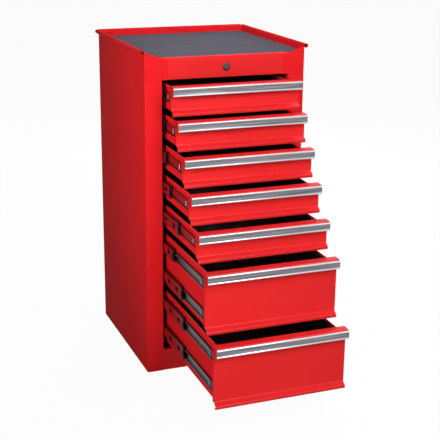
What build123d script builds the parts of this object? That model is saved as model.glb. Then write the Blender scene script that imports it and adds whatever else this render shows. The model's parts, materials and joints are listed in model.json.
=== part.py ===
from build123d import *
import math
import os

os.makedirs("parts", exist_ok=True)

# A seven-drawer side tool cabinet of folded and spot-welded sheet steel.
# Millimetres. X runs to the right seen from the front, Y to the back, Z up.
# The origin is the middle of the base, on the floor. The drawers stand open in steps.

# Cabinet shell
cab_width = 440.0
cab_depth = 444.0
rim_axis_height = 870.5
sheet = 1.0
corner_radius = 3.0
edge_radius = 0.8
rim_diameter = 11.0
rim_sweep_degrees = 300.0
stile_width = 45.5
stile_return = 16.0
ear_reach = 62.4
ear_flat = 3.0
ear_drop = 21.5
header_below_rim = 15.2
header_height = 55.8
opening_bottom = 61.0
panel_lap = 12.0
panel_return = 13.0
deck_flange = 12.0
pan_flange = 15.0
back_flange = 15.0
overrun = 2.0
pick_margin = 0.01

# Top mat
mat_thickness = 2.5
mat_clearance = 0.5

# Bolt holes in the right wall, for hanging the cabinet on a larger one
hang_hole_diameter = 8.5
hang_hole_inset = 102.0
hang_hole_low = 100.0
hang_hole_below_rim = 130.5

# Drawer layout: height of each drawer in pitches, and the share of its travel that it stands open
drawer_height_units = [1, 1, 1, 1, 1, 2, 2]
drawer_open_shares = [0.1975, 0.2925, 0.415, 0.535, 0.6675, 0.82, 0.9775]
travel_past_rail = 10.0
first_pull_below_header = 6.0
drawer_gap = 8.0
front_side_clearance = 1.5

# Drawer front: lip, flat panel and flared foot
pull_ahead_of_face = 12.0
pull_ahead_of_panel = 21.0
front_thickness = 8.0
front_flange = 26.0
lip_rise = 2.5
lip_flat = 8.0
foot_height = 15.5
foot_flare = 12.0
foot_hem = 7.5
foot_return = 9.0
last_front_drop = 5.0
bend_radius = 1.0

# Pull strip
pull_height = 21.0
pull_thickness = 3.2
pull_bead = 4.2
pull_bead_slope = 1.4
pull_recess = 1.2
pull_end_overhang = 0.6
pull_grip = 16.0

# Drawer tray
tray_back_gap = 29.0
tray_lift = 5.0
tray_below_lip = 7.0
tray_hem_width = 2.6
tray_hem_height = 6.0
tray_hem_radius = 1.25
liner_thickness = 2.0
liner_clearance = 0.5

# Ball slides: three nested members on each side of a drawer
slide_thickness = 12.7
slide_below_pull = 32.0
deep_slide_below_pull = 36.0
rail_sheet = 1.2
run_clearance = 0.4
rail_radius = 0.5
nest_step = 4.5
cab_rail_tip = 3.4
cab_rail_setback = 22.0
cab_rail_back_gap = 25.0
mid_rail_tip = 2.0
mid_web_gap = 1.5
mid_rail_setback = 42.0
mid_rail_shorter = 26.0
mid_slot_length = 20.0
mid_slot_height = 11.0
mid_slot_spacing = 64.0
mid_slot_first = 26.0
mid_slot_count = 5
drawer_rail_height = 24.0
drawer_web_gap = 2.3
drawer_rail_setback = 12.0
drawer_rail_shorter = 6.0
hook_setback = 36.0
hook_length = 9.0
hook_height = 13.0
hook_reach = 4.2
hook_sheet = 1.5
stop_length = 12.0
stop_clearance = 0.5
stop_waist = 8.0
stop_notch = 4.0

# How far the middle members at each slide level have come out, as a share of their drawer's way out
mid_lag_shares = [0.40, 0.30, 0.30, 0.38, 0.54, 0.31, 0.51, 0.46, 0.46]

# Upright posts that carry the slides
post_width = 28.0
post_lip = 8.0
post_setback = 2.0

# Lock: bezel, body, plug, rod with crank, lifting bar and guides
lock_below_header_top = 29.3
bezel_diameter = 21.0
bezel_proud = 3.0
bezel_chamfer = 0.9
body_diameter = 17.0
body_length = 22.0
body_clearance = 0.2
nut_across_flats = 24.0
nut_thickness = 4.0
plug_diameter = 12.0
plug_recess = 0.6
plug_clearance = 0.3
plug_tail = 3.0
keyway_width = 1.6
keyway_height = 7.5
keyway_depth = 9.0
rod_diameter = 6.0
crank_radius = 10.0
crank_thickness = 3.0
crank_half_width = 4.0
pin_diameter = 4.0
pin_clearance = 0.7
bar_behind_trays = 19.0
bar_sheet = 2.0
bar_width = 18.0
bar_head_width = 32.0
bar_head_height = 24.0
bar_foot_above_floor = 28.0
catch_width = 14.0
catch_reach = 13.5
catch_sheet = 1.2
catch_lip = 10.0
catch_above_floor = 18.0
finger_gap_ahead = 4.5
finger_clearance = 1.0
guide_width = 34.0
guide_height = 22.0
guide_wall = 4.0
guide_from_end = 90.0
hanger_width = 20.0
hanger_sheet = 2.0
hanger_from_crank = 24.0

# Places worked out from the sizes above
half_width = cab_width / 2
face_y = -cab_depth / 2
back_y = cab_depth / 2
inner_half = half_width - sheet
inner_back = back_y - sheet
rim_radius = rim_diameter / 2
header_top = rim_axis_height - header_below_rim
opening_top = header_top - header_height
lock_height = header_top - lock_below_header_top
opening_half = half_width - stile_width
front_half = opening_half - front_side_clearance
tray_half = front_half - slide_thickness
panel_y = face_y - pull_ahead_of_face + pull_ahead_of_panel
tray_front = panel_y + front_thickness
tray_back = inner_back - tray_back_gap
tray_depth = tray_back - tray_front
deck_top = header_top - sheet
deck_bottom = deck_top - sheet
header_face = face_y + sheet
header_back = header_face + sheet
bar_front = tray_back + bar_behind_trays
crank_back = bar_front - run_clearance
crank_front = crank_back - crank_thickness
crank_offset = crank_radius * math.sqrt(0.5)
bar_travel = crank_offset + crank_offset
cab_rail_front = face_y + cab_rail_setback
cab_rail_back = inner_back - cab_rail_back_gap
cab_rail_length = cab_rail_back - cab_rail_front
mid_rail_length = cab_rail_length - mid_rail_shorter
drawer_rail_length = cab_rail_length - drawer_rail_shorter
mid_rail_reach = slide_thickness - rail_sheet - mid_web_gap
drawer_rail_reach = mid_rail_reach - rail_sheet - drawer_web_gap
drawer_travel = drawer_rail_length + travel_past_rail
drawer_opens = [share * drawer_travel for share in drawer_open_shares]
first_pull_top = opening_top - first_pull_below_header
drawer_pitch = (first_pull_top - opening_bottom - drawer_gap) / sum(drawer_height_units)
pull_tops = [
    first_pull_top - drawer_pitch * sum(drawer_height_units[:index])
    for index in range(len(drawer_height_units))
]


def block(x0, x1, y0, y1, z0, z1):
    """A box given by its two limits along each axis."""
    return Pos((x0 + x1) / 2, (y0 + y1) / 2, (z0 + z1) / 2) * Box(x1 - x0, y1 - y0, z1 - z0)


def prism_x(outline, x0, x1):
    """A closed outline of (y, z) points, drawn out from x0 to x1."""
    face = Plane.YZ * make_face(Polyline(*outline, close=True))
    return Pos(x0, 0, 0) * extrude(face, amount=x1 - x0)


def prism_y(outline, y0, y1):
    """A closed outline of (x, z) points, drawn out from y0 to y1."""
    face = Plane.XZ * make_face(Polyline(*outline, close=True))
    return Pos(0, y1, 0) * extrude(face, amount=y1 - y0)


def folded_sheet(points, thickness, x0, x1, side=Side.LEFT):
    """Sheet bent along (y, z) points with rounded bends, drawn out from x0 to x1."""
    path = FilletPolyline(*points, radius=bend_radius)
    face = make_face(offset(path, amount=thickness, side=side, closed=True))
    return Pos(x0, 0, 0) * extrude(Plane.YZ * face, amount=x1 - x0)


def bar_y(radius, x, z, y0, y1):
    """A round bar along Y."""
    return Pos(x, (y0 + y1) / 2, z) * Rot(90, 0, 0) * Cylinder(radius, y1 - y0)


def curl_section(centre_x, centre_z, first_degrees, sweep_degrees):
    """The cross-section of a rolled rim: a ring of sheet that is left open below."""
    ring = Circle(rim_radius) - Circle(rim_radius - sheet)
    reach = rim_diameter
    ends = [first_degrees + sweep_degrees, first_degrees + 360]
    gap_corners = [(0, 0)]
    for angle in [ends[0], (ends[0] + ends[1]) / 2, ends[1]]:
        turn = math.radians(angle)
        gap_corners.append((reach * math.cos(turn), reach * math.sin(turn)))
    open_ring = ring - make_face(Polyline(*gap_corners, close=True))
    return Pos(centre_x, centre_z, 0) * open_ring


def edges_at(edges, axis, place):
    """The edges whose middle lies at one place along an axis."""
    return edges.filter_by_position(axis, place - pick_margin, place + pick_margin)


def save(shapes, node):
    """Write one node, a single solid or a group of separate ones."""
    solids = [solid for shape in shapes for solid in shape.solids()]
    export_step(Compound(children=solids) if len(solids) > 1 else solids[0], f"parts/{node}.step")


def mirrored(shape):
    """The same piece on the other side of the cabinet."""
    return mirror(shape, about=Plane.YZ)


# Side walls: one sheet with the rolled rim on top, the front stile and its return
def side_wall():
    wall = block(-half_width, -inner_half, face_y, back_y, 0, rim_axis_height)
    tab_edge = -half_width + ear_reach
    ear_edge = -half_width + ear_flat
    stile = prism_y(
        [
            (-half_width, 0),
            (-opening_half, 0),
            (-opening_half, opening_top),
            (tab_edge, opening_top),
            (tab_edge, rim_axis_height - ear_drop),
            (ear_edge, rim_axis_height),
            (-half_width, rim_axis_height),
        ],
        face_y,
        face_y + sheet,
    )
    turned_in = block(
        -opening_half - sheet, -opening_half, face_y, face_y + stile_return, opening_bottom, opening_top
    )
    body = wall + stile + turned_in
    outer = edges_at(body.edges().filter_by(Axis.Z), Axis.X, -half_width)
    body = fillet(edges_at(outer, Axis.Y, face_y), corner_radius)
    inner = edges_at(body.edges().filter_by(Axis.Z), Axis.X, -opening_half)
    body = fillet(edges_at(inner, Axis.Y, face_y).sort_by(Edge.length)[-1], edge_radius)
    curl = Plane.XZ * curl_section(-inner_half - rim_radius, rim_axis_height, 0, rim_sweep_degrees)
    rim = Pos(0, back_y, 0) * extrude(curl, amount=cab_depth)
    return body + rim


left_wall = side_wall()
save([left_wall], "left_side_wall")
right_wall = mirrored(left_wall)
for hole_y in (face_y + hang_hole_inset, back_y - hang_hole_inset):
    for hole_z in (hang_hole_low, rim_axis_height - hang_hole_below_rim):
        drill = Rot(0, 90, 0) * Cylinder(hang_hole_diameter / 2, overrun + overrun)
        right_wall = right_wall - Pos(half_width, hole_y, hole_z) * drill
save([right_wall], "right_side_wall")

# Back panel with its own rolled rim and flanges along the side walls
back_sheet = block(-inner_half, inner_half, inner_back, back_y, 0, rim_axis_height)
back_curl = Plane.YZ * curl_section(inner_back + rim_radius, rim_axis_height, 180, -rim_sweep_degrees)
back_rim = Pos(-inner_half, 0, 0) * extrude(back_curl, amount=inner_half + inner_half)
back_panel = back_sheet + back_rim
flange_low = pan_flange + sheet
flange_high = deck_bottom - deck_flange
for side in (-1, 1):
    edges = sorted((side * inner_half, side * (inner_half - sheet)))
    back_panel = back_panel + block(*edges, inner_back - back_flange, inner_back, flange_low, flange_high)
save([back_panel], "back_panel")

# Header and toe panel, each lapped behind the stiles and returned into the cabinet
lap_half = opening_half + panel_lap
tab_lap_half = half_width - ear_reach + panel_lap
header = block(-tab_lap_half, tab_lap_half, header_face, header_back, opening_top, header_top)
for low in (opening_top, header_top - sheet):
    header = header + block(
        -tab_lap_half, tab_lap_half, header_face, header_face + panel_return, low, low + sheet
    )
bend = edges_at(header.edges().filter_by(Axis.X), Axis.Y, header_face)
header = fillet(bend, edge_radius)
hole_radius = body_diameter / 2 + body_clearance
lock_hole = bar_y(hole_radius, 0, lock_height, face_y - overrun, face_y + panel_return)
save([header - lock_hole], "header_panel")

toe = block(-lap_half, lap_half, header_face, header_back, 0, opening_bottom)
toe = toe + block(
    -front_half, front_half, header_face, header_face + panel_return, opening_bottom - sheet, opening_bottom
)
bend = edges_at(toe.edges().filter_by(Axis.X), Axis.Y, header_face)
save([fillet(bend.sort_by(Axis.Z)[-1], edge_radius)], "toe_panel")


# Top deck and bottom pan: flat sheets with flanges that meet the walls
def flanged_plate(front, plate_low, flange_low, flange_high):
    plate = block(-inner_half, inner_half, front, inner_back, plate_low, plate_low + sheet)
    for side in (-1, 1):
        edges = sorted((side * inner_half, side * (inner_half - sheet)))
        plate = plate + block(*edges, front + post_lip, inner_back, flange_low, flange_high)
    return plate + block(-inner_half, inner_half, inner_back - sheet, inner_back, flange_low, flange_high)


save([flanged_plate(header_back, deck_bottom, deck_bottom - deck_flange, deck_top)], "top_deck")
save([flanged_plate(header_back, 0, 0, pan_flange)], "bottom_pan")
top_mat = block(
    -inner_half + mat_clearance,
    inner_half - mat_clearance,
    header_face + panel_return + mat_clearance,
    inner_back - mat_clearance,
    deck_top,
    deck_top + mat_thickness,
)
save([top_mat], "top_mat")

# Upright posts: hat sections between the side walls and the slides
post_fronts = [cab_rail_front + post_setback, cab_rail_back - post_setback - post_width]
post_low = flange_low
post_high = flange_high - sheet


def post(front):
    rear = front + post_width
    hat = block(-front_half - sheet, -front_half, front, rear, post_low, post_high)
    for near, far in ((front, front + sheet), (rear - sheet, rear)):
        hat = hat + block(-inner_half, -front_half, near, far, post_low, post_high)
    for near, far in ((front - post_lip, front), (rear, rear + post_lip)):
        hat = hat + block(-inner_half, -inner_half + sheet, near, far, post_low, post_high)
    return hat


left_posts = [post(front) for front in post_fronts]
save(left_posts + [mirrored(hat) for hat in left_posts], "slide_posts")


# Slide members, drawn as sections across the slide: out is the way from the tray to the post
def lipped_channel(tip, reach, half, lip_edge):
    """Channel with its web at reach, open towards the tray, lips turned in to lip_edge."""
    inner = half - rail_sheet
    web = reach - rail_sheet
    lip = tip + rail_sheet
    upper = [(reach, half), (tip, half), (tip, lip_edge), (lip, lip_edge), (lip, inner), (web, inner)]
    lower = [(out, -up) for out, up in reversed(upper)]
    return upper + lower


def plain_channel(reach, half):
    """Channel with its web against the tray, open outwards."""
    inner = half - rail_sheet
    upper = [(0, half), (reach, half), (reach, inner), (rail_sheet, inner)]
    lower = [(out, -up) for out, up in reversed(upper)]
    return upper + lower


def left_rail(outline, half, height, front, length):
    """Draw a slide section out along Y on the left side, with its outer corners rounded."""
    points = [(-tray_half - out, height + up) for out, up in outline]
    rail = prism_y(points, front, front + length)
    corners = rail.edges().filter_by(Axis.Y)
    ends = edges_at(corners, Axis.Z, height + half) + edges_at(corners, Axis.Z, height - half)
    return fillet(ends, rail_radius)


drawer_half = drawer_rail_height / 2
mid_half = drawer_half + nest_step
cab_half = mid_half + nest_step
cab_section = lipped_channel(cab_rail_tip, slide_thickness, cab_half, mid_half + run_clearance)
mid_section = lipped_channel(mid_rail_tip, mid_rail_reach, mid_half, drawer_half + run_clearance)
drawer_section = plain_channel(drawer_rail_reach, drawer_half)


def cabinet_rail(height):
    return left_rail(cab_section, cab_half, height, cab_rail_front, cab_rail_length)


def middle_rail(height, moved):
    front = face_y + mid_rail_setback
    rail = left_rail(mid_section, mid_half, height, front, mid_rail_length)
    web_x = -tray_half - mid_rail_reach
    slot_face = Plane.YZ * SlotOverall(mid_slot_length, mid_slot_height)
    punch = extrude(slot_face, amount=rail_sheet, both=True)
    for step in range(mid_slot_count):
        slot_y = front + mid_slot_first + step * mid_slot_spacing
        rail = rail - Pos(web_x, slot_y, height) * punch
    return Pos(0, -moved, 0) * rail


def middle_stop(height, moved):
    """Black plastic end piece of a middle member, waisted at mid height."""
    front = face_y + mid_rail_setback - stop_length
    inner = drawer_half + run_clearance
    web = drawer_rail_reach + stop_clearance
    upper = [
        (mid_rail_reach, mid_half), (mid_rail_tip, mid_half), (mid_rail_tip, inner), (web, inner),
    ]
    outline = upper + [(out, -up) for out, up in reversed(upper)]
    stop = prism_y([(-tray_half - out, height + up) for out, up in outline], front, front + stop_length)
    waist = stop_waist / 2
    notch_outline = [
        (front, height - waist - stop_notch),
        (front, height + waist + stop_notch),
        (front + stop_notch, height + waist),
        (front + stop_notch, height - waist),
    ]
    notch = prism_x(notch_outline, -tray_half - slide_thickness, -tray_half)
    return Pos(0, -moved, 0) * (stop - notch)


def drawer_rail(height, opened):
    front = panel_y + drawer_rail_setback
    rail = left_rail(drawer_section, drawer_half, height, front, drawer_rail_length)
    web_x = -tray_half - rail_sheet
    hook_front = front + hook_setback
    hook_low = height - hook_height / 2
    stem = block(
        web_x - hook_reach, web_x, hook_front, hook_front + hook_sheet, hook_low, hook_low + hook_height
    )
    cap = block(
        web_x - hook_reach, web_x - hook_reach + hook_sheet,
        hook_front, hook_front + hook_length, hook_low, hook_low + hook_height,
    )
    return Pos(0, -opened, 0) * (rail + stem + cap)


def both_sides(shapes):
    return shapes + [mirrored(shape) for shape in shapes]


# Each deep drawer has two slides a side, one pitch apart, like two shallow ones
slide_levels = []
for index, units in enumerate(drawer_height_units):
    below_pull = slide_below_pull if units == 1 else deep_slide_below_pull
    for step in range(units):
        slide_levels.append((index, pull_tops[index] - below_pull - step * drawer_pitch))
save(both_sides([cabinet_rail(height) for index, height in slide_levels]), "cabinet_rails")

# Middle members of one drawer with the same lag move as one group, and the sixth drawer has two groups
middle_groups = {}
for (index, height), share in zip(slide_levels, mid_lag_shares):
    middle_groups.setdefault((index, share), []).append(height)
for (index, share), heights in middle_groups.items():
    name = f"slide_{index + 1}"
    same_drawer = [lag for owner, lag in middle_groups if owner == index]
    if len(same_drawer) > 1:
        name = name + ("_upper" if share == same_drawer[0] else "_lower")
    moved = share * drawer_opens[index]
    save(both_sides([middle_rail(height, moved) for height in heights]), f"{name}_middle_rails")
    save(both_sides([middle_stop(height, moved) for height in heights]), f"{name}_stops")


# Drawers
def drawer_tray(floor, rim_top):
    """Folded tray with hemmed side walls, and the lock catch on its back."""
    tray = block(-tray_half, tray_half, tray_front, tray_back, floor, floor + sheet)
    tray = tray + block(-tray_half, tray_half, tray_front, tray_front + sheet, floor, rim_top)
    tray = tray + block(-tray_half, tray_half, tray_back - sheet, tray_back, floor, rim_top)
    side_points = [
        (-tray_half, floor), (-tray_half, rim_top), (-tray_half + tray_hem_width, rim_top),
        (-tray_half + tray_hem_width, rim_top - tray_hem_height),
    ]
    path = FilletPolyline(*side_points, radius=tray_hem_radius)
    face = make_face(offset(path, amount=sheet, side=Side.RIGHT, closed=True))
    side = Pos(0, tray_back, 0) * extrude(Plane.XZ * face, amount=tray_depth)
    tray = tray + side + mirrored(side)
    catch_low = floor + catch_above_floor
    half_catch = catch_width / 2
    catch_back = tray_back + catch_reach
    tray = tray + block(-half_catch, half_catch, tray_back, catch_back, catch_low, catch_low + catch_sheet)
    return tray + block(
        -half_catch, half_catch, catch_back - catch_sheet, catch_back, catch_low, catch_low + catch_lip
    )


def drawer_front(pull_top, foot):
    """Formed front: lip over the pull and down to the tray, flat panel, flared foot, and returns."""
    lip_top = pull_top + lip_rise
    lip_back = tray_front + sheet
    grip_y = panel_y - pull_ahead_of_panel + pull_thickness
    lip = folded_sheet(
        [
            (lip_back, lip_top - tray_below_lip),
            (lip_back, lip_top),
            (panel_y - lip_flat, lip_top),
            (grip_y, pull_top),
            (grip_y, pull_top - pull_grip),
        ],
        sheet, -front_half, front_half,
    )
    flare_y = panel_y - foot_flare
    panel = folded_sheet(
        [
            (panel_y, lip_top - sheet / 2),
            (panel_y, foot + foot_height),
            (flare_y, foot + foot_hem),
            (flare_y, foot),
            (flare_y + foot_return, foot),
        ],
        sheet, -front_half, front_half,
    )
    front = lip + panel
    flange_low = foot + foot_height
    flange_high = lip_top - sheet / 2
    for side in (-1, 1):
        edge = sorted((side * front_half, side * (front_half - sheet)))
        front = front + block(*edge, panel_y, tray_front, flange_low, flange_high)
        turned = sorted((side * front_half, side * (front_half - front_flange)))
        front = front + block(*turned, tray_front - sheet, tray_front, flange_low, flange_high)
    return front


def pull_strip(pull_top):
    """Aluminium strip with a bead along its top and bottom edge."""
    front = panel_y - pull_ahead_of_panel
    low = pull_top - pull_height
    back = front + pull_thickness
    flat = front + pull_recess
    outline = [
        (back, low), (back, pull_top), (front + pull_recess, pull_top), (front, pull_top - pull_bead_slope),
        (front, pull_top - pull_bead + pull_bead_slope), (flat, pull_top - pull_bead),
        (flat, low + pull_bead), (front, low + pull_bead - pull_bead_slope),
        (front, low + pull_bead_slope), (front + pull_recess, low),
    ]
    reach = front_half + pull_end_overhang
    return prism_x(outline, -reach, reach)


def drawer_liner(floor):
    reach = tray_half - sheet - liner_clearance
    return block(
        -reach, reach, tray_front + sheet + liner_clearance, tray_back - sheet - liner_clearance,
        floor + sheet, floor + sheet + liner_thickness,
    )


tray_floors = []
last_drawer = f"drawer_{len(drawer_height_units)}"
for index, units in enumerate(drawer_height_units):
    node = f"drawer_{index + 1}"
    pull_top = pull_tops[index]
    opened = drawer_opens[index]
    out = Pos(0, -opened, 0)
    foot = pull_top - units * drawer_pitch + drawer_gap
    if node == last_drawer:
        foot = foot - last_front_drop
    floor = foot + tray_lift
    tray_floors.append(floor)
    tray = drawer_tray(floor, pull_top + lip_rise - tray_below_lip)
    save([out * tray, out * drawer_front(pull_top, foot)], f"{node}_body")
    save([out * pull_strip(pull_top)], f"{node}_pull")
    save([out * drawer_liner(floor)], f"{node}_liner")
    heights = [height for owner, height in slide_levels if owner == index]
    save(both_sides([drawer_rail(height, opened) for height in heights]), f"{node}_rails")

# Lock in the header
bezel_front = header_face - bezel_proud
body_back = header_face + body_length
bore_radius = plug_diameter / 2 + plug_clearance
bezel = bar_y(bezel_diameter / 2, 0, lock_height, bezel_front, header_face)
bezel = chamfer(bezel.edges().sort_by(Axis.Y)[0], bezel_chamfer)
lock_housing = bezel + bar_y(body_diameter / 2, 0, lock_height, header_face, body_back)
lock_housing = lock_housing - bar_y(bore_radius, 0, lock_height, bezel_front - overrun, body_back + overrun)
save([lock_housing], "lock_housing")

nut_face = Plane.XZ * RegularPolygon(nut_across_flats / 2, 6, major_radius=False)
nut = Pos(0, header_back + nut_thickness, lock_height) * extrude(nut_face, amount=nut_thickness)
nut_bore = bar_y(hole_radius, 0, lock_height, header_back - overrun, body_back)
save([nut - nut_bore], "lock_nut")

plug_front = bezel_front + plug_recess
plug_back = body_back + plug_tail
plug = bar_y(plug_diameter / 2, 0, lock_height, plug_front, plug_back)
keyway = block(
    -keyway_width / 2, keyway_width / 2, plug_front - overrun, plug_front + keyway_depth,
    lock_height - keyway_height / 2, lock_height + keyway_height / 2,
)
save([plug - keyway], "lock_plug")

# Rod from the plug to the crank at the back, whose pin works the bar
rod = bar_y(rod_diameter / 2, 0, lock_height, plug_back, crank_back)
arm_slot = SlotCenterPoint((crank_radius / 2, 0), (crank_radius, 0), crank_half_width + crank_half_width)
arm = extrude(Plane.XZ * arm_slot, amount=crank_thickness)
arm = Pos(0, crank_back, lock_height) * Rot(0, -45, 0) * arm
pin = bar_y(
    pin_diameter / 2, crank_offset, lock_height + crank_offset, crank_back - crank_thickness,
    bar_front + bar_sheet + run_clearance,
)
save([rod + arm + pin], "lock_rod")

# Bar behind the drawers with a hooked finger over each catch, drawn unlocked
bar_back = bar_front + bar_sheet
half_bar = bar_width / 2
bar_foot = tray_floors[-1] + bar_foot_above_floor
head_low = lock_height + crank_offset - bar_head_height / 2
lock_bar = block(-half_bar, half_bar, bar_front, bar_back, bar_foot, head_low + bar_head_height)
lock_bar = lock_bar + block(
    -half_bar, bar_head_width - half_bar, bar_front, bar_back, head_low, head_low + bar_head_height
)
slot_half = pin_diameter / 2 + pin_clearance
lock_bar = lock_bar - block(
    crank_offset - slot_half, crank_radius + slot_half, bar_front - overrun, bar_back + overrun,
    lock_height + crank_offset - slot_half, lock_height + crank_offset + slot_half,
)
finger_front = tray_back + finger_gap_ahead
for floor in tray_floors:
    catch_top = floor + catch_above_floor + catch_lip
    tip_low = floor + catch_above_floor + catch_sheet + bar_travel + finger_clearance
    arm_low = catch_top + bar_travel + finger_clearance
    arm_high = arm_low + bar_sheet
    half_finger = catch_width / 2
    lock_bar = lock_bar + block(-half_finger, half_finger, finger_front, bar_front, arm_low, arm_high)
    lock_bar = lock_bar + block(
        -half_finger, half_finger, finger_front, finger_front + bar_sheet, tip_low, arm_high
    )
save([lock_bar], "lock_bar")

# Guides on the back panel hold the bar, and a hanger under the deck holds the rod
guide_front = bar_front - guide_wall
guides = []
for middle in (bar_foot + guide_from_end, head_low - guide_from_end):
    guide = block(
        -guide_width / 2, guide_width / 2, guide_front, inner_back, middle - guide_height / 2,
        middle + guide_height / 2,
    )
    channel = block(
        -half_bar - run_clearance, half_bar + run_clearance, bar_front - run_clearance,
        bar_back + run_clearance, middle - guide_height, middle + guide_height,
    )
    guides.append(guide - channel)
hanger_back = crank_front - hanger_from_crank
hanger = block(
    -hanger_width / 2, hanger_width / 2, hanger_back - hanger_sheet, hanger_back,
    lock_height - hanger_width / 2, deck_bottom,
)
hanger = hanger - bar_y(
    rod_diameter / 2 + run_clearance, 0, lock_height, hanger_back - hanger_width, hanger_back + overrun
)
save(guides + [hanger], "lock_guides")
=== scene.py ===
# %% [markdown]
# # A red side cabinet with seven drawers
# The cabinet is folded from thin sheet steel, painted gloss red, and its drawers stand open in steps.
# The solid model comes first as a fixed frame, at its real size. This lesson then dresses it: most outside
# pieces are bent again here with finer folds, and the hidden ones keep their solid and only get a finish.

# %% Load the frame
import bmesh
import bpy
import json
import math
from mathutils import Matrix, Vector

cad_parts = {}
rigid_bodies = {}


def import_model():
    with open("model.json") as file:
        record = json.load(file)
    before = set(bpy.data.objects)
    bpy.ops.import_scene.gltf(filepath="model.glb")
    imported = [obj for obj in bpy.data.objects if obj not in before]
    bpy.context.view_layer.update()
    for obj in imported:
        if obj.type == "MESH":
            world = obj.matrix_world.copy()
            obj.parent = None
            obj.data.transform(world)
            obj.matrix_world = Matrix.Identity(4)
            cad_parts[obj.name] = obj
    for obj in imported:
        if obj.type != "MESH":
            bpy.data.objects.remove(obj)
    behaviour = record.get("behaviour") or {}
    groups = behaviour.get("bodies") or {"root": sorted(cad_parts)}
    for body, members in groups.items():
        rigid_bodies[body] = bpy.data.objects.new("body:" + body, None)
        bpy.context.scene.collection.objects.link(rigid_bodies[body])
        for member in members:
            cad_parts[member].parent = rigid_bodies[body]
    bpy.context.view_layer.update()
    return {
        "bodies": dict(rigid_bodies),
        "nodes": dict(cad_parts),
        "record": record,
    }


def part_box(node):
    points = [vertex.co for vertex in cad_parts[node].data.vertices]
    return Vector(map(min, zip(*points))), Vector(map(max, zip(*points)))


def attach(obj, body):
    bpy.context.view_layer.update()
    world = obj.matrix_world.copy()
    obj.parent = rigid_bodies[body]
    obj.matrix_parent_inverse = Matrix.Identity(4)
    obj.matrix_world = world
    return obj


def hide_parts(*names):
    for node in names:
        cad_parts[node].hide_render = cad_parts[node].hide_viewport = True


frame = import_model()
nodes = frame["nodes"]
mm = 0.001

# %% [markdown]
# ## Camera
# A product photo is taken from some way off with a long lens, so that upright lines stay nearly upright.
# The camera could be aimed with a tracking constraint. Three turns are plainer: to the right, down, and a
# touch of roll, each measured on the picture.

# %% Camera
camera_place = (-0.9735, -2.6974, 1.2491)
camera_right_degrees = 21.19
camera_down_degrees = 17.44
camera_roll_degrees = 0.577
camera_lens_mm = 85.0
camera_sensor_mm = 36.0

lens = bpy.data.cameras.new("camera")
lens.lens = camera_lens_mm
lens.sensor_width = camera_sensor_mm
camera = bpy.data.objects.new("camera", lens)
aim = Matrix.Rotation(math.radians(-camera_right_degrees), 4, "Z")
aim = aim @ Matrix.Rotation(math.radians(90 - camera_down_degrees), 4, "X")
aim = aim @ Matrix.Rotation(math.radians(camera_roll_degrees), 4, "Z")
camera.matrix_world = Matrix.Translation(camera_place) @ aim
scene = bpy.context.scene
scene.collection.objects.link(camera)
scene.camera = camera
scene.view_settings.view_transform = "Standard"
print("camera:", lens.lens, "mm lens at", camera_place)

# %% [markdown]
# ## Node helpers
# Every finish below is built from the same few nodes: a noise that reads Object coordinates, a ramp that
# turns it into two shades, a range that turns it into a roughness, and a bump. Small helpers keep each
# recipe readable. Object coordinates are metres, so a noise scale of 100 gives cells of about a centimetre.
# Noise seldom leaves the middle of its range, so the ramps run between the two limits named below.

# %% Node helpers
noise_low = 0.3
noise_high = 0.7


def new_finish(name, metallic, roughness, specular=0.5):
    """A node material, with the numbers that are the same all over it set on its shader."""
    material = bpy.data.materials.new(name)
    material.use_nodes = True
    shader = material.node_tree.nodes["Principled BSDF"]
    shader.inputs["Metallic"].default_value = metallic
    shader.inputs["Roughness"].default_value = roughness
    shader.inputs["Specular IOR Level"].default_value = specular
    return material, material.node_tree, shader


def grain(tree, scale, stretch=(1, 1, 1), detail=3.0):
    """Noise over the piece; a large stretch along two axes leaves streaks along the third."""
    place = tree.nodes.new("ShaderNodeTexCoord")
    mapping = tree.nodes.new("ShaderNodeMapping")
    mapping.inputs["Scale"].default_value = stretch
    noise = tree.nodes.new("ShaderNodeTexNoise")
    noise.inputs["Scale"].default_value = scale
    noise.inputs["Detail"].default_value = detail
    tree.links.new(place.outputs["Object"], mapping.inputs["Vector"])
    tree.links.new(mapping.outputs["Vector"], noise.inputs["Vector"])
    return noise.outputs["Fac"]


def tint(tree, factor, dark, light, socket):
    """Blend two colours by a grey factor and feed them to a colour socket."""
    ramp = tree.nodes.new("ShaderNodeValToRGB")
    ramp.color_ramp.elements[0].position = noise_low
    ramp.color_ramp.elements[0].color = (*dark, 1)
    ramp.color_ramp.elements[1].position = noise_high
    ramp.color_ramp.elements[1].color = (*light, 1)
    tree.links.new(factor, ramp.inputs["Fac"])
    tree.links.new(ramp.outputs["Color"], socket)


def spread(tree, factor, low, high, socket):
    """Turn a grey factor into a number between low and high."""
    limits = tree.nodes.new("ShaderNodeMapRange")
    limits.inputs["From Min"].default_value = noise_low
    limits.inputs["From Max"].default_value = noise_high
    limits.inputs["To Min"].default_value = low
    limits.inputs["To Max"].default_value = high
    tree.links.new(factor, limits.inputs["Value"])
    tree.links.new(limits.outputs["Result"], socket)


def emboss(tree, height, depth, shader):
    """Roughen the surface by a grey height, depth metres deep."""
    bump = tree.nodes.new("ShaderNodeBump")
    bump.inputs["Strength"].default_value = 1.0
    bump.inputs["Distance"].default_value = depth
    tree.links.new(height, bump.inputs["Height"])
    tree.links.new(bump.outputs["Normal"], shader.inputs["Normal"])


# %% [markdown]
# ## Floor, world and lamps
# The picture has a plain white ground. Lighting a floor until it is white would also bleach the paint, so
# floor and world only look white to the camera and in reflections. To all other light the floor is a mid
# grey and the world is dim, and nine lamps do the lighting. A small share of the floor's true shading stays
# in, which keeps a soft shadow under the drawers.

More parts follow.
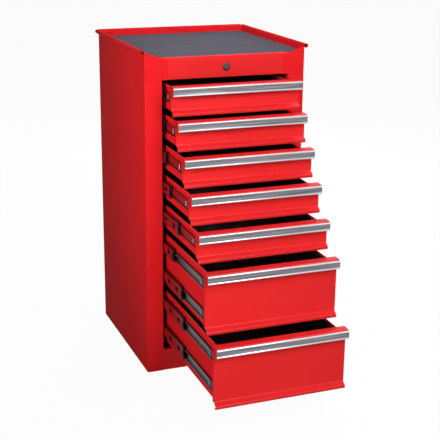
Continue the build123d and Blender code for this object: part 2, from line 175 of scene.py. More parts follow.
# %% Floor and world
floor_half = 14.0
floor_shade_share = 0.04
floor_lit_grey = 0.92
floor_bounce_grey = 0.3
white_strength = 0.985
dim_strength = 0.05
white = (1.0, 1.0, 1.0, 1.0)
warm_white = (1.0, 0.98, 0.97, 1.0)


def looked_at(tree):
    """One where a thing is seen or mirrored, and zero where its light falls on other things."""
    path = tree.nodes.new("ShaderNodeLightPath").outputs
    total = path["Is Camera Ray"]
    for way in ("Is Glossy Ray", "Is Transmission Ray"):
        larger = tree.nodes.new("ShaderNodeMath")
        larger.operation = "MAXIMUM"
        tree.links.new(total, larger.inputs[0])
        tree.links.new(path[way], larger.inputs[1])
        total = larger.outputs["Value"]
    return total


def floor_finish():
    material = bpy.data.materials.new("studio_floor")
    material.use_nodes = True
    tree = material.node_tree
    tree.nodes.remove(tree.nodes["Principled BSDF"])
    shades = {}
    for name, grey in (("lit", floor_lit_grey), ("bounce", floor_bounce_grey)):
        shades[name] = tree.nodes.new("ShaderNodeBsdfDiffuse")
        shades[name].inputs["Color"].default_value = (grey, grey, grey, 1)
    glow = tree.nodes.new("ShaderNodeEmission")
    seen = tree.nodes.new("ShaderNodeMixShader")
    seen.inputs["Fac"].default_value = floor_shade_share
    tree.links.new(glow.outputs["Emission"], seen.inputs[1])
    tree.links.new(shades["lit"].outputs["BSDF"], seen.inputs[2])
    both = tree.nodes.new("ShaderNodeMixShader")
    tree.links.new(looked_at(tree), both.inputs["Fac"])
    tree.links.new(shades["bounce"].outputs["BSDF"], both.inputs[1])
    tree.links.new(seen.outputs["Shader"], both.inputs[2])
    tree.links.new(both.outputs["Shader"], tree.nodes["Material Output"].inputs["Surface"])
    return material


floor_shape = bmesh.new()
bmesh.ops.create_grid(floor_shape, x_segments=1, y_segments=1, size=floor_half)
floor_mesh = bpy.data.meshes.new("floor")
floor_shape.to_mesh(floor_mesh)
floor_shape.free()
floor_mesh.materials.append(floor_finish())
floor = bpy.data.objects.new("floor", floor_mesh)
scene.collection.objects.link(floor)

world = bpy.data.worlds.new("studio")
world.use_nodes = True
tree = world.node_tree
dim = tree.nodes["Background"]
dim.inputs["Color"].default_value = warm_white
dim.inputs["Strength"].default_value = dim_strength
pale = tree.nodes.new("ShaderNodeBackground")
pale.inputs["Color"].default_value = white
pale.inputs["Strength"].default_value = white_strength
sky = tree.nodes.new("ShaderNodeMixShader")
tree.links.new(looked_at(tree), sky.inputs["Fac"])
tree.links.new(dim.outputs["Background"], sky.inputs[1])
tree.links.new(pale.outputs["Background"], sky.inputs[2])
tree.links.new(sky.outputs["Shader"], tree.nodes["World Output"].inputs["Surface"])
scene.world = world
print("floor:", 2 * floor_half, "m wide")


# %% Lamps
def softbox(name, place, target, width, height, watts, beam_degrees=180, glints=True):
    """An area lamp that faces a target, its beam narrowed as by a grid, and mirrored only if it glints."""
    lamp = bpy.data.lights.new(name, "AREA")
    lamp.shape = "RECTANGLE"
    lamp.size = width
    lamp.size_y = height
    lamp.energy = watts
    lamp.spread = math.radians(beam_degrees)
    box = bpy.data.objects.new(name, lamp)
    facing = (Vector(place) - Vector(target)).to_track_quat("Z", "Y")
    box.matrix_world = Matrix.Translation(place) @ facing.to_matrix().to_4x4()
    box.visible_glossy = glints
    scene.collection.objects.link(box)
    return box


lamps = [
    softbox("key_lamp", (0.25, -2.8, 2.4), (0.0, -0.3, 0.5), 1.0, 1.0, 41),
    softbox("strip_lamp", (0.35, -2.95, 1.3), (0.0, -0.4, 0.6), 0.6, 1.6, 13),
    softbox("side_lamp", (-1.3, -1.1, 1.3), (-0.22, -0.2, 0.87), 0.4, 0.4, 1.45, 55),
    softbox("low_lamp", (-1.2, -1.3, 0.2), (-0.17, -0.48, 0.25), 0.4, 0.4, 1.2, 60),
    softbox("mid_lamp", (-1.2, -1.1, 0.6), (-0.17, -0.42, 0.52), 0.3, 0.3, 0.075, 30),
    softbox("rim_lamp", (-1.1, -0.6, 2.0), (0.22, 0.0, 0.87), 0.3, 0.3, 0.18, 22),
    softbox("top_lamp", (0.85, -0.15, 2.8), (0.0, -0.3, 0.6), 0.8, 0.8, 13),
    softbox("back_lamp", (1.1, 2.4, 1.7), (0.0, 0.2, 0.5), 1.4, 1.4, 45, glints=False),
    softbox("right_lamp", (2.4, -0.5, 1.2), (0.2, 0.0, 0.4), 1.2, 1.2, 26),
]
print("lamps:", [lamp.name for lamp in lamps])

# %% [markdown]
# ## Red paint
# Powder paint melts into a smooth, slightly wavy skin. A faint drift of shade over a hand's width keeps
# large sheets from looking dead flat, and a very shallow noise gives the orange peel that shows close up.
# One recipe gives four paints. Walls and rims have next to no gloss, because a strong one would mirror the
# white floor and bleach the dark side. The drawer fronts have a little, in a slightly lighter red. Over a
# fold the skin is drawn thin and smooth, so the folds get a glossier paint that catches light.

# %% Red paint
drift_scale = 4.0
gloss_scale = 60.0
peel_scale = 700.0
peel_detail = 1.0
peel_depth = 0.03 * mm
deep_red = [(0.76, 0.015, 0.019), (0.82, 0.018, 0.023)]
light_red = [(0.76, 0.019, 0.021), (0.82, 0.023, 0.025)]


def red_paint(name, shades, specular, smooth, rough):
    material, tree, shader = new_finish(name, 0.0, rough, specular)
    tint(tree, grain(tree, drift_scale), *shades, shader.inputs["Base Color"])
    spread(tree, grain(tree, gloss_scale), smooth, rough, shader.inputs["Roughness"])
    emboss(tree, grain(tree, peel_scale, detail=peel_detail), peel_depth, shader)
    return material


wall_paint = red_paint("red_paint_on_walls", deep_red, specular=0.002, smooth=0.32, rough=0.40)
rim_paint = red_paint("red_paint_on_rims", deep_red, specular=0.0015, smooth=0.30, rough=0.38)
front_paint = red_paint("red_paint", light_red, specular=0.10, smooth=0.30, rough=0.38)
fold_paint = red_paint("red_paint_on_folds", deep_red, specular=0.35, smooth=0.20, rough=0.28)
wall_finishes = [wall_paint, rim_paint]
front_finishes = [front_paint, fold_paint]
print("finishes:", [finish.name for finish in (wall_paint, rim_paint, front_paint, fold_paint)])

# %% [markdown]
# ## Metals
# The pulls are aluminium, brushed along their length, with a bead along the top edge painted lighter as a
# painted highlight and one below painted darker as painted shade. The slides are rolled strip with zinc on
# it, which shows faint lines along the rolling. Both come from a noise that is stretched until only
# streaks are left, used for the shade, the roughness and a shallow bump. The brushed aluminium, the zinc
# and the lock's chrome are painted dark as a painted reflection of a dark room, and the lock's brass is
# dark too.

# %% Metals
streak_detail = 4.0
brush_marks = (7, 330, 330)
along_x = (6, 2600, 2600)
along_y = (1800, 8, 1800)
all_ways = (600, 600, 600)


def streaked_metal(name, dark, light, smooth, rough, stretch, depth):
    material, tree, shader = new_finish(name, 1.0, smooth)
    lines = grain(tree, 1.0, stretch, streak_detail)
    tint(tree, lines, dark, light, shader.inputs["Base Color"])
    spread(tree, lines, smooth, rough, shader.inputs["Roughness"])
    emboss(tree, lines, depth, shader)
    return material


# The brushed flat is painted dark, a painted reflection of a dark room.
brushed = streaked_metal(
    "brushed_aluminium", (0.11, 0.114, 0.128), (0.295, 0.30, 0.32), 0.30, 0.42, brush_marks, 0.006 * mm
)
# Lighter aluminium for the top bead, a painted highlight, and darker for the lower one, painted shade.
lit_aluminium = streaked_metal(
    "bright_aluminium", (0.60, 0.61, 0.63), (0.70, 0.71, 0.73), 0.30, 0.38, along_x, 0.001 * mm
)
shaded_aluminium = streaked_metal(
    "dull_aluminium", (0.46, 0.47, 0.49), (0.56, 0.57, 0.59), 0.32, 0.42, along_x, 0.001 * mm
)
# The zinc is painted dark, a painted reflection of a dark room.
zinc = streaked_metal(
    "zinc_strip", (0.05, 0.05, 0.06), (0.12, 0.12, 0.13), 0.25, 0.40, along_y, 0.006 * mm
)
# Near-black zinc for the races of the middle members: a painted dark reflection.
painted_dark_race = streaked_metal(
    "oiled_race", (0.015, 0.015, 0.017), (0.040, 0.040, 0.045), 0.25, 0.38, along_y, 0.003 * mm
)
# Lighter zinc for the front faces of the hooks: a painted highlight.
highlit_zinc = streaked_metal(
    "polished_zinc", (0.20, 0.185, 0.185), (0.30, 0.28, 0.28), 0.16, 0.24, along_y, 0.003 * mm
)
# The chrome is painted dark, a painted reflection of a dark room; the brass is given a dark colour too.
chrome = streaked_metal(
    "lock_chrome", (0.04, 0.04, 0.048), (0.08, 0.08, 0.09), 0.10, 0.16, all_ways, 0.002 * mm
)
brass = streaked_metal(
    "lock_brass", (0.10, 0.072, 0.048), (0.17, 0.125, 0.085), 0.20, 0.32, all_ways, 0.004 * mm
)
print("finishes:", [metal.name for metal in (brushed, lit_aluminium, shaded_aluminium, zinc, painted_dark_race, highlit_zinc, chrome, brass)])

# %% [markdown]
# ## Rubber, foam and plastic
# The mat is extruded grey rubber, matt with a fine tooth. The liners are black foam with small cells, and
# the stops on the slides are moulded nylon, black with a soft sheen. The trays' insides take dark paint as
# painted shade, and zinc that stands close between red sheets takes a dull red as a painted reflection of
# them. Each of these is one noise at its own scale, with a coarser one for the shade.

# %% Rubber, foam and plastic
shade_coarser = 8
across_mat = (0.05, 2.0, 1.0)


def matt_finish(name, dark, light, low, high, scale, depth, specular, stretch=(1, 1, 1)):
    """One noise for the tooth of the surface, and a coarser one, maybe stretched, for its shade."""
    material, tree, shader = new_finish(name, 0.0, low, specular)
    shade = grain(tree, scale / shade_coarser, stretch)
    tint(tree, shade, dark, light, shader.inputs["Base Color"])
    spread(tree, shade, low, high, shader.inputs["Roughness"])
    emboss(tree, grain(tree, scale), depth, shader)
    return material


mat_rubber = matt_finish(
    "mat_rubber", (0.081, 0.078, 0.103), (0.142, 0.138, 0.174), 0.6, 0.8, 900, 0.08 * mm, 0.05, across_mat
)
liner_foam = matt_finish(
    "liner_foam", (0.055, 0.048, 0.048), (0.10, 0.088, 0.088), 0.8, 0.95, 500, 0.2 * mm, 0.1
)
black_plastic = matt_finish(
    "black_plastic", (0.006, 0.006, 0.008), (0.012, 0.012, 0.015), 0.22, 0.34, 700, 0.03 * mm, 0.12
)
# Dark paint for the dark hidden parts, also laid inside the trays as painted shade.
black_paint = matt_finish(
    "black_paint", (0.045, 0.040, 0.040), (0.070, 0.062, 0.060), 0.5, 0.65, 600, 0.05 * mm, 0.2
)
# Zinc given a dull red colour: a painted reflection of the red sheets around it.
zinc_with_red_reflection = matt_finish(
    "zinc_among_red", (0.30, 0.012, 0.015), (0.38, 0.016, 0.020), 0.4, 0.5, 600, 0.02 * mm, 0.03
)
print("finishes:", [matt.name for matt in (mat_rubber, liner_foam, black_plastic, black_paint, zinc_with_red_reflection)])

# %% [markdown]
# ## Solids that keep their shape
# Pieces that are hidden, or already have their real shape, stay as solids. They could be copied and dressed,
# but a new material in each slot is enough.

# %% Finish the kept solids
slot_finish = {
    "red_paint": front_paint,
    "dark_paint": black_paint,
    "pull_aluminium": brushed,
    "zinc_steel": zinc,
    "black_plastic": black_plastic,
    "lock_chrome": chrome,
    "lock_brass": brass,
    "mat_rubber": mat_rubber,
    "liner_foam": liner_foam,
}
for subpart in frame["record"]["subparts"]:
    slots = nodes[subpart["node"]].data.materials
    slots.clear()
    slots.append(slot_finish[subpart["material_slot"]])

# %% [markdown]
# ## Sheet-metal tools
# A sheet-metal worker bends a flat strip along a few lines. The mesh is made the same way: a line of
# corners is drawn out into a strip, its inner edges are bevelled into round folds, and solidify gives the
# strip its thickness. The thickness goes to the left of the line, and the right side is the one that shows.
# A piece's flat faces take its first finish, and its folds the second.

# %% Strips and folds
least_fold = math.radians(12)
same_place = 0.001 * mm
on_fold = 1


def put(axis, across, up, along):
    """A point of a section that is drawn out along an axis."""
    return {"X": (along, across, up), "Y": (across, along, up), "Z": (across, up, along)}[axis]


def made_verts(made):
    return [item for item in made["geom"] if isinstance(item, bmesh.types.BMVert)]


def made_edges(made):
    return [item for item in made["geom"] if isinstance(item, bmesh.types.BMEdge)]


def pull_out(shape, edges, step):
    """Draw edges out by a step, and return the new outer edges."""
    made = bmesh.ops.extrude_edge_only(shape, edges=edges)
    bmesh.ops.translate(shape, verts=made_verts(made), vec=step)
    moved = set(made_verts(made))
    return [edge for edge in made_edges(made) if set(edge.verts) <= moved]


def round_edges(shape, edges, radius, segments=4):
    """Round edges into folds, which take the second finish of the piece."""
    made = bmesh.ops.bevel(
        shape, geom=edges, offset=radius, segments=segments, profile=0.5, affect="EDGES", material=-1
    )
    for face in made["faces"]:
        face.material_index = on_fold


def inner_edges(shape):
    return [edge for edge in shape.edges if len(edge.link_faces) == 2]


def folds(shape):
    """The edges where the sheet turns sharply, leaving out the steps of a curve."""
    shape.normal_update()
    return [edge for edge in inner_edges(shape) if edge.calc_face_angle() > least_fold]


def thicken(shape, thickness):
    """Give an open sheet its thickness, behind the side that shows."""
    bmesh.ops.solidify(shape, geom=shape.faces[:], thickness=thickness)
    return shape


def open_strip(axis, corners, start, end, bend):
    """A strip bent along a line of corners, with no thickness yet."""
    shape = bmesh.new()
    line = [shape.verts.new(put(axis, across, up, start)) for across, up in corners]
    edges = [shape.edges.new(pair) for pair in zip(line, line[1:])]
    pull_out(shape, edges, put(axis, 0, 0, end - start))
    if axis != "Y":
        bmesh.ops.reverse_faces(shape, faces=shape.faces[:])
    round_edges(shape, folds(shape), bend)
    return shape


def folded(axis, corners, start, end, bend, thickness):
    return thicken(open_strip(axis, corners, start, end, bend), thickness)


# %% [markdown]
# ## Solid tools
# Moulded and drawn pieces start from one outline that is extruded and rounded. A hole in a sheet starts as
# a square cell cut by four planes: its face is taken out, and the room between its edges and a ring of the
# hole's size is filled with triangles. A bridge could do that too, but it may twist where the two have
# different counts of edges. Turned pieces are a profile spun about an axis. Each shape then rides on a body
# of the frame.

# %% Bars, holes and turned shapes
faces_across = 0.9
bar_edge_segments = 2
turned_steps = 40
world_axes = [Vector((1, 0, 0)), Vector((0, 1, 0)), Vector((0, 0, 1))]


def bar(axis, outline, start, end, rounding):
    """A solid of one outline, drawn out along an axis, with its edges rounded."""
    shape = bmesh.new()
    face = shape.faces.new([shape.verts.new(put(axis, across, up, start)) for across, up in outline])
    made = bmesh.ops.extrude_face_region(shape, geom=[face])
    bmesh.ops.translate(shape, verts=made_verts(made), vec=put(axis, 0, 0, end - start))
    bmesh.ops.recalc_face_normals(shape, faces=shape.faces[:])
    if rounding:
        round_edges(shape, shape.edges[:], rounding, bar_edge_segments)
    return shape


def block(x0, x1, y0, y1, z0, z1, rounding=0.0):
    return bar("Z", [(x0, y0), (x1, y0), (x1, y1), (x0, y1)], z0, z1, rounding)


def face_out(shape, outward):
    """Make all faces agree, with the largest one that lies across outward looking that way."""
    bmesh.ops.recalc_face_normals(shape, faces=shape.faces[:])
    across = [face for face in shape.faces if abs(face.normal.dot(outward)) > faces_across]
    if max(across, key=lambda face: face.calc_area()).normal.dot(outward) < 0:
        bmesh.ops.reverse_faces(shape, faces=shape.faces[:])


def edges_of(verts):
    """The edges that meet at some vertices, each one once."""
    return list(dict.fromkeys(edge for vert in verts for edge in vert.link_edges))


def in_plane(face, place, outward):
    """True for a face that lies flat in the plane through a place."""
    level = (face.calc_center_median() - place).dot(outward)
    return abs(face.normal.dot(outward)) > faces_across and abs(level) < same_place


def punch(shape, outward, centre, cell, radius, stretch=0.0, segments=16):
    """Cut a round hole, or one stretched along Y, in a flat sheet that looks outward."""
    centre = Vector(centre)
    for way in [axis for axis in world_axes if not axis.dot(outward)]:
        half = cell + stretch * way.y
        for side in (-1, 1):
            flat = [face for face in shape.faces if in_plane(face, centre, outward)]
            parts = dict.fromkeys(part for face in flat for part in face.edges[:] + face.verts[:])
            bmesh.ops.bisect_plane(
                shape, geom=flat + list(parts), plane_co=centre + way * side * half, plane_no=way,
                dist=same_place,
            )
    middle = min(shape.faces, key=lambda face: (face.calc_center_median() - centre).length)
    rim = middle.edges[:]
    bmesh.ops.delete(shape, geom=[middle], context="FACES_ONLY")
    turn = Vector((0, 0, 1)).rotation_difference(outward).to_matrix().to_4x4()
    half_step = Matrix.Rotation(math.pi / segments, 4, "Z")
    ring = bmesh.ops.create_circle(
        shape, segments=segments, radius=radius, matrix=Matrix.Translation(centre) @ turn @ half_step
    )["verts"]
    for vert in ring:
        vert.co.y += math.copysign(stretch, vert.co.y - centre.y)
    bmesh.ops.triangle_fill(shape, edges=rim + edges_of(ring), use_beauty=True, normal=outward)
    face_out(shape, outward)


def turned(profile, centre):
    """Spin a closed profile of (radius, depth) points about an axis along Y."""
    shape = bmesh.new()
    line = [shape.verts.new(Vector(centre) + Vector((radius, depth, 0))) for radius, depth in profile]
    edges = [shape.edges.new(pair) for pair in zip(line, line[1:] + line[:1])]
    bmesh.ops.spin(
        shape, geom=line + edges, cent=centre, axis=(0, 1, 0), dvec=(0, 0, 0), angle=2 * math.pi,
        steps=turned_steps, use_merge=True, use_duplicate=False,
    )
    bmesh.ops.remove_doubles(shape, verts=shape.verts[:], dist=same_place)
    bmesh.ops.recalc_face_normals(shape, faces=shape.faces[:])
    return shape


# %% Joining and placing
sharp_angle = math.radians(32)


def joined(shapes):
    """Put several shapes into the first one."""
    whole = shapes[0]
    for shape in shapes[1:]:
        carrier = bpy.data.meshes.new("carrier")
        shape.to_mesh(carrier)
        shape.free()
        whole.from_mesh(carrier)
        bpy.data.meshes.remove(carrier)
    return whole


def mirrored(shape):
    """A copy on the other side of the cabinet, with its faces turned back out."""
    other = shape.copy()
    bmesh.ops.scale(other, vec=(-1, 1, 1), verts=other.verts[:])
    bmesh.ops.reverse_faces(other, faces=other.faces[:])
    return other


def both_sides(shapes):
    return joined(shapes + [mirrored(shape) for shape in shapes])


def piece(name, shape, body, finishes, stands_for):
    """Turn a shape into a smooth-shaded object that rides on a body in place of some nodes."""
    for face in shape.faces:
        face.material_index = min(face.material_index, len(finishes) - 1)
    mesh = bpy.data.meshes.new(name)
    shape.to_mesh(mesh)
    shape.free()
    for finish in finishes:
        mesh.materials.append(finish)
    mesh.shade_smooth()
    mesh.set_sharp_from_angle(angle=sharp_angle)
    made = bpy.data.objects.new(name, mesh)
    scene.collection.objects.link(made)
    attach(made, body)
    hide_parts(*stands_for)
    return made


# %% [markdown]
# ## Side walls
# Each wall is one sheet: the side, a stile folded round to the front, an ear that leads down to the header,
# and a return into the opening. The front is drawn as one face, and the side and the return are pulled out
# of its edges. The rolled rim on top is an edge spun most of the way round, left open at its front end.

# %% Side walls
sheet = 1.0 * mm
rim_radius = 5.5 * mm
rim_turn_degrees = 300
rim_steps = 36
stile_width = 45.5 * mm
stile_return = 16.0 * mm
ear_flat = 3.0 * mm
ear_drop = 21.5 * mm
corner_radius = 3.0 * mm
corner_segments = 6
edge_radius = 1.1 * mm
hang_hole_diameter = 8.5 * mm
hang_hole_inset = 102.0 * mm
hang_hole_low = 100.0 * mm
hang_hole_below_rim = 130.5 * mm

wall_low, wall_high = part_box("left_side_wall")
header_low, header_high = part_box("header_panel")
toe_low, toe_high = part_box("toe_panel")
face_y = wall_low.y
back_y = wall_high.y
half_width = -wall_low.x - 2 * rim_radius + sheet
inner_half = half_width - sheet
opening_half = half_width - stile_width
rim_height = wall_high.z - rim_radius


def rolled_rim(start, end, centre, axis, turn_degrees):
    """A straight edge spun about an axis into a roll of sheet."""
    shape = bmesh.new()
    ends = [shape.verts.new(start), shape.verts.new(end)]
    edge = shape.edges.new(ends)
    bmesh.ops.spin(
        shape, geom=ends + [edge], cent=centre, axis=axis, dvec=(0, 0, 0),
        angle=math.radians(turn_degrees), steps=rim_steps, use_merge=False, use_duplicate=False,
    )
    bmesh.ops.recalc_face_normals(shape, faces=shape.faces[:])
    first = shape.faces[:][0]
    if first.normal.dot(first.calc_center_median() - Vector(centre)) < 0:
        bmesh.ops.reverse_faces(shape, faces=shape.faces[:])
    for face in shape.faces:
        face.material_index = on_fold
    return thicken(shape, sheet)


def wall_sheet():
    """The left wall with its stile, ear and return, with no thickness yet."""
    shape = bmesh.new()
    outline = [
        (-half_width, 0), (-opening_half, 0), (-opening_half, toe_high.z), (-opening_half, header_low.z),
        (wall_high.x, header_low.z), (wall_high.x, rim_height - ear_drop),
        (-half_width + ear_flat, rim_height), (-half_width, rim_height),
    ]
    corners = [shape.verts.new((x, face_y, z)) for x, z in outline]
    shape.faces.new(corners)
    outer = shape.edges.get((corners[-1], corners[0]))
    inner = shape.edges.get((corners[2], corners[3]))
    pull_out(shape, [outer], (0, back_y - face_y, 0))
    pull_out(shape, [inner], (0, stile_return, 0))
    round_edges(shape, [outer], corner_radius, corner_segments)
    round_edges(shape, [edge for edge in inner_edges(shape) if inner_corner(edge)], edge_radius)
    bmesh.ops.remove_doubles(shape, verts=shape.verts[:], dist=same_place)
    return shape


def inner_corner(edge):
    """True for the fold between the stile and its return."""
    gaps = [abs(vert.co.x + opening_half) + abs(vert.co.y - face_y) for vert in edge.verts]
    return max(gaps) < same_place


def side_rim():
    centre = (-inner_half - rim_radius, 0, rim_height)
    return rolled_rim(
        (-inner_half, face_y, rim_height), (-inner_half, back_y, rim_height), centre, (0, -1, 0),
        rim_turn_degrees,
    )


left_wall = joined([thicken(wall_sheet(), sheet), side_rim()])
right_sheet = mirrored(wall_sheet())
for hole_y in (face_y + hang_hole_inset, back_y - hang_hole_inset):
    for hole_z in (hang_hole_low, rim_height - hang_hole_below_rim):
        hole_place = (half_width, hole_y, hole_z)
        punch(right_sheet, Vector((1, 0, 0)), hole_place, hang_hole_diameter, hang_hole_diameter / 2)
right_wall = joined([thicken(right_sheet, sheet), mirrored(side_rim())])
wall_cm3 = left_wall.calc_volume(signed=True) / (10 * mm) ** 3
print("side walls:", len(left_wall.faces), "and", len(right_wall.faces), "faces")
print("left wall:", round(wall_cm3, 1), "cm3 of sheet")
piece("left_wall_sheet", left_wall, "cabinet", wall_finishes, ["left_side_wall"])
piece("right_wall_sheet", right_wall, "cabinet", wall_finishes, ["right_side_wall"])

# %% [markdown]
# ## Back, header and toe
# The back closes the shell with a roll of its own and two flanges that would be spot-welded to the walls.
# The header and the toe are plain folded strips that lap behind the stiles. The header has a round hole for
# the lock, punched before the strip gets its thickness. Its folds keep the paint of its face, because they
# lie in the shade of the mat and of the first drawer.

# %% Back, header and toe
back_flange = 15.0 * mm
pan_flange = 15.0 * mm
lock_hole_diameter = 17.4 * mm
lock_hole_steps = 32

lock_low, lock_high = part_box("lock_housing")
lock_height = (lock_low.z + lock_high.z) / 2
panel_return = header_high.y - header_low.y
inner_back = back_y - sheet

plate = open_strip("Z", [(inner_half, back_y), (-inner_half, back_y)], 0, rim_height, edge_radius)
face_out(plate, Vector((0, 1, 0)))
back_rim = rolled_rim(
    (-inner_half, inner_back, rim_height), (inner_half, inner_back, rim_height),
    (0, inner_back + rim_radius, rim_height), (-1, 0, 0), rim_turn_degrees,
)
deck_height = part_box("top_deck")[0].z
flange = block(
    inner_half - sheet, inner_half, inner_back - back_flange, inner_back, pan_flange + sheet, deck_height
)
back_sheets = joined([thicken(plate, sheet), back_rim, flange, mirrored(flange)])
piece("back_sheet", back_sheets, "cabinet", wall_finishes, ["back_panel"])

front = header_low.y
header = open_strip(
    "X",
    [(front + panel_return, header_high.z), (front, header_high.z), (front, header_low.z),
     (front + panel_return, header_low.z)],
    header_low.x, header_high.x, edge_radius,
)
punch(
    header, Vector((0, -1, 0)), (0, front, lock_height), lock_hole_diameter, lock_hole_diameter / 2,
    segments=lock_hole_steps,
)
piece("header_sheet", thicken(header, sheet), "cabinet", [front_paint], ["header_panel"])

toe = folded(
    "X", [(front + panel_return, toe_high.z), (front, toe_high.z), (front, 0)], toe_low.x, toe_high.x,
    edge_radius, sheet,
)
piece("toe_sheet", toe, "cabinet", front_finishes, ["toe_panel"])
print("header:", round((header_high.z - header_low.z) / mm, 1), "mm tall")

# %% [markdown]
# ## Ribbed mat
# The top is covered with a rubber mat that is ribbed from side to side, so that tools do not roll off. A
# grid is split into thin rows, every second row is raised, the outside edges are drawn down to the deck,
# and one face closes the underside.

# %% Ribbed mat
rib_pitch = 4.0 * mm
rib_height = 0.9 * mm

mat_low, mat_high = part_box("top_mat")
mat_size = mat_high - mat_low
mat_middle = (mat_low + mat_high) / 2
rows = 2 * int(mat_size.y / rib_pitch) + 1
mat = bmesh.new()
bmesh.ops.create_grid(mat, x_segments=1, y_segments=rows, size=0.5)
bmesh.ops.scale(mat, vec=(mat_size.x, mat_size.y, 1), verts=mat.verts[:])
bmesh.ops.translate(mat, vec=(mat_middle.x, mat_middle.y, mat_high.z - rib_height), verts=mat.verts[:])
outside = [edge for edge in mat.edges if edge.is_boundary]
skirt = pull_out(mat, outside, (0, 0, rib_height - mat_size.z))
flat_rows = [face for face in mat.faces if face.normal.z > faces_across]
flat_rows.sort(key=lambda face: face.calc_center_median().y)
ribs = bmesh.ops.extrude_discrete_faces(mat, faces=flat_rows[::2])["faces"]
rib_verts = dict.fromkeys(vert for face in ribs for vert in face.verts)
bmesh.ops.translate(mat, vec=(0, 0, rib_height), verts=list(rib_verts))
bmesh.ops.contextual_create(mat, geom=skirt)
bmesh.ops.recalc_face_normals(mat, faces=mat.faces[:])
print("mat:", len(ribs), "ribs")
piece("ribbed_mat", mat, "cabinet", [mat_rubber], ["top_mat"])

# %% [markdown]
# ## Drawer fronts
# A drawer front is one formed sheet: a lip that curves down over the pull, a flat panel behind it, and a
# foot that flares forward and ends in a small return. It is bent in two strips, lip and panel, that meet
# under the lip. The back of the lip turns down onto the tray's wall, and two folded flanges tie the panel's
# ends back to the tray. The curve of the lip is a few short steps of an arc, too flat to count as folds.

# %% Drawer places
drawer_count = 7
drawer_finishes = [wall_paint, fold_paint, front_paint, black_paint]
on_wall, on_fold, on_front, on_painted_shade = range(len(drawer_finishes))
bend = 1.4 * mm
pull_ahead_of_panel = 21.0 * mm
pull_thickness = 3.2 * mm
pull_end_overhang = 0.6 * mm
pull_grip = 16.0 * mm
lip_rise = 2.5 * mm
lip_flat = 8.0 * mm
foot_height = 15.5 * mm
foot_flare = 12.0 * mm
foot_hem = 7.5 * mm
foot_return = 9.0 * mm
front_thickness = 8.0 * mm
front_flange = 26.0 * mm
nose_steps = 5
nose_tilt = 0.03
slide_thickness = 12.7 * mm
tray_lift = 5.0 * mm
tray_below_lip = 7.0 * mm
tray_hem_width = 2.6 * mm
tray_hem_height = 6.0 * mm
tray_bend = 1.25 * mm
catch_width = 14.0 * mm
catch_reach = 13.5 * mm
catch_sheet = 1.2 * mm
catch_lip = 10.0 * mm
catch_above_floor = 18.0 * mm


class DrawerPlaces:
    """The lines that one drawer's pieces share, read from its solids in the frame."""

    def __init__(self, number):
        pull_low, pull_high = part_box(f"drawer_{number}_pull")
        body_low, body_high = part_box(f"drawer_{number}_body")
        self.name = f"drawer_{number}"
        self.pull_front = pull_low.y
        self.pull_low = pull_low.z
        self.pull_top = pull_high.z
        self.pull_half = pull_high.x
        self.half = pull_high.x - pull_end_overhang
        self.tray_half = self.half - slide_thickness
        self.panel = pull_low.y + pull_ahead_of_panel
        self.tray_front = self.panel + front_thickness
        self.tray_back = body_high.y - catch_reach
        self.foot = body_low.z
        self.floor = body_low.z + tray_lift
        self.lip_top = pull_high.z + lip_rise
        self.rim_top = self.lip_top - tray_below_lip


drawers = [DrawerPlaces(number) for number in range(1, drawer_count + 1)]
print("drawers:", len(drawers), "of", round(2 * drawers[0].half / mm, 1), "mm")


# %% Drawer fronts
def lip_nose(at, grip):
    """The curve of the lip from its flat top down to the pull."""
    start = at.panel - lip_flat
    turn = 2 * math.atan2(lip_rise, start - grip)
    radius = (start - grip) / math.sin(turn)
    turns = [turn * step / nose_steps for step in range(nose_steps + 1)]
    return [(start - radius * math.sin(t), at.lip_top - radius * (1 - math.cos(t))) for t in turns]


def drawer_front(at):
    grip = at.pull_front + pull_thickness
    lip_back = at.tray_front + sheet
    lip = folded(
        "X",
        [(lip_back, at.rim_top), (lip_back, at.lip_top), *lip_nose(at, grip),
         (grip, at.pull_top - pull_grip)],
        -at.half, at.half, bend, sheet,
    )
    flare = at.panel - foot_flare
    panel = folded(
        "X",
        [(at.panel, at.lip_top - sheet / 2), (at.panel, at.foot + foot_height), (flare, at.foot + foot_hem),
         (flare, at.foot), (flare + foot_return, at.foot)],
        -at.half, at.half, bend, sheet,
    )
    for face in lip.faces[:] + panel.faces[:]:
        if face.material_index == on_wall:
            face.material_index = on_front
    for face in lip.faces:
        if face.normal.y < -nose_tilt < nose_tilt < face.normal.z:
            face.material_index = on_fold
    flange = folded(
        "Z",
        [(at.half - front_flange, at.tray_front), (at.half, at.tray_front), (at.half, at.panel)],
        at.foot + foot_height, at.lip_top - sheet / 2, bend, sheet,
    )
    return joined([lip, panel, flange, mirrored(flange)])


# %% [markdown]
# ## Drawer trays
# The tray behind the front is a box of sheet with no lid. Its walls are drawn up from the edges of a floor,
# the side walls get a narrow hem at the top so that no sharp edge is left, and a small catch at the back is
# what the lock bar drops into. Below the hem the faces that look inwards take the dark paint as painted
# shade.


